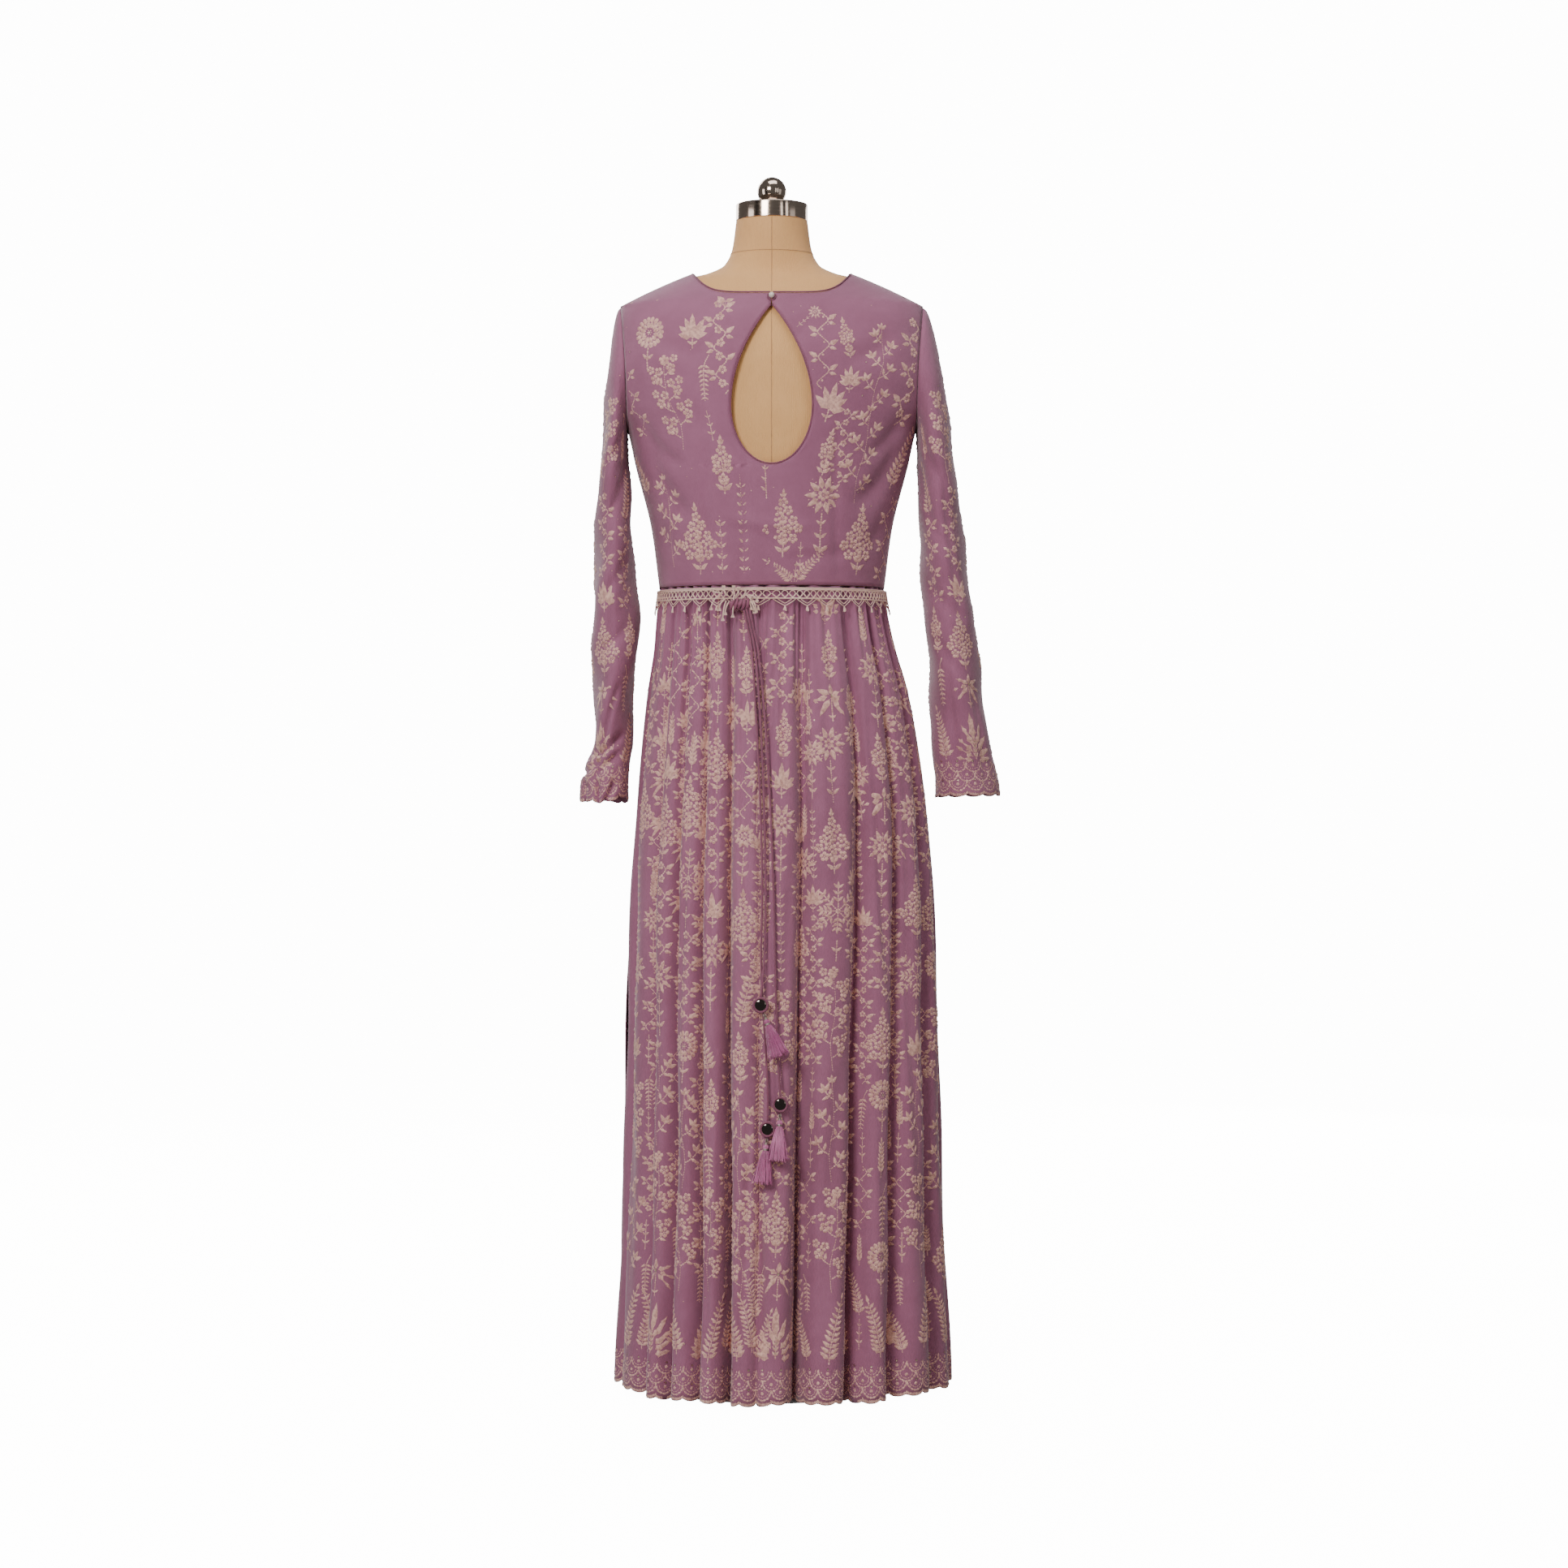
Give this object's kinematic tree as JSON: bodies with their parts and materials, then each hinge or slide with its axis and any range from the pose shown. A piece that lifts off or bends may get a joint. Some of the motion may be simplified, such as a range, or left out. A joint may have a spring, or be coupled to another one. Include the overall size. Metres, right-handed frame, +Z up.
{
  "type": "anarkali gown on dress form",
  "caption": "Floor-length anarkali gown with long sleeves, keyhole back, gathered skirt, lace belt and tasselled waist tie, on a limbless dress form with a neck knob and a round stand.",
  "frame": {"origin": "centre of the underside of the stand's round plate, at floor level", "axes": "+Z up along the stand's pole to the neck knob; -Y out of the gown's back, where the keyhole and the waist tie are; +Y out of its front; +X to the right of someone who looks at the back"},
  "size_m": [0.5169, 0.4036, 1.4856],
  "materials": {
    "mauve_cloth": "matte woven cloth",
    "cream_lace": "matte cotton lace",
    "mauve_cord": "soft fabric cord",
    "mauve_thread": "glossy silk thread",
    "mirror_glass": "polished",
    "pearl": "pearl lustre",
    "beige_canvas": "matte canvas",
    "chrome": "polished",
    "stand_steel": "satin"
  },
  "bodies": {
    "root": {"bodice_back": "mauve_cloth", "bodice_front": "mauve_cloth", "button_loop": "mauve_cloth", "charm_mirror_a": "mirror_glass", "charm_mirror_b": "mirror_glass", "charm_mirror_c": "mirror_glass", "charm_ring_a": "mauve_cord", "charm_ring_b": "mauve_cord", "charm_ring_c": "mauve_cord", "form_knob": "chrome", "form_neck_band": "chrome", "form_torso": "beige_canvas", "keyhole_piping": "mauve_cloth", "lace_back": "cream_lace", "lace_front": "cream_lace", "neck_button": "pearl", "neck_piping": "mauve_cloth", "skirt_back": "mauve_cloth", "skirt_front": "mauve_cloth", "sleeve_left": "mauve_cloth", "sleeve_right": "mauve_cloth", "stand_plate": "stand_steel", "stand_pole": "stand_steel", "tassel_a": "mauve_thread", "tassel_b": "mauve_thread", "tassel_c": "mauve_thread", "tie_cord_a": "mauve_cord", "tie_cord_b": "mauve_cord", "tie_cord_c": "mauve_cord", "tie_knot": "mauve_cord"}
  },
  "joints": []
}
